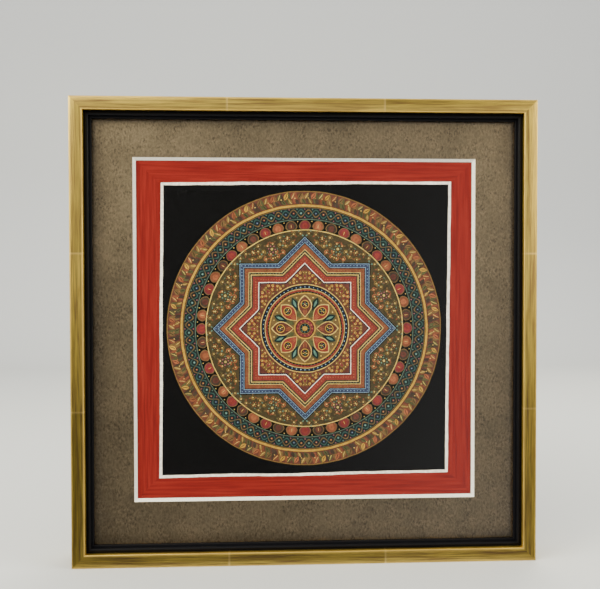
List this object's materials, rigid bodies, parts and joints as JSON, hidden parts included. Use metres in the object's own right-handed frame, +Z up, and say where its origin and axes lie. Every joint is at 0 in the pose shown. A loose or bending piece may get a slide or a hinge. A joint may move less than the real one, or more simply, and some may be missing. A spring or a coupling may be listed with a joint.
{
  "type": "mandala painting on cloth with glazed frame",
  "caption": "Square gilded frame with a black beaded liner, glass and a bevelled window mat around a cotton cloth painted with a round mandala.",
  "frame": {"origin": "middle of the frame's bottom face, where it stands", "axes": "+Z up, the picture faces -Y, the back of the frame faces +Y"},
  "size_m": [0.412, 0.04, 0.412],
  "materials": {
    "gilt": "gold leaf on wood, rubbed at the edges",
    "liner": "black lacquer, semi-gloss",
    "glass": "clear, polished",
    "mat": "speckled olive brown face, white core",
    "cloth": "cotton with matt mineral paint and gold",
    "board": "plain brown"
  },
  "bodies": {
    "root": {"gilt_rail_bottom": "gilt", "gilt_rail_left": "gilt", "gilt_rail_top": "gilt", "gilt_rail_right": "gilt", "liner_rail_bottom": "liner", "liner_rail_left": "liner", "liner_rail_top": "liner", "liner_rail_right": "liner", "glass": "glass", "window_mat": "mat", "painted_cloth": "cloth", "back_board": "board"}
  },
  "joints": []
}
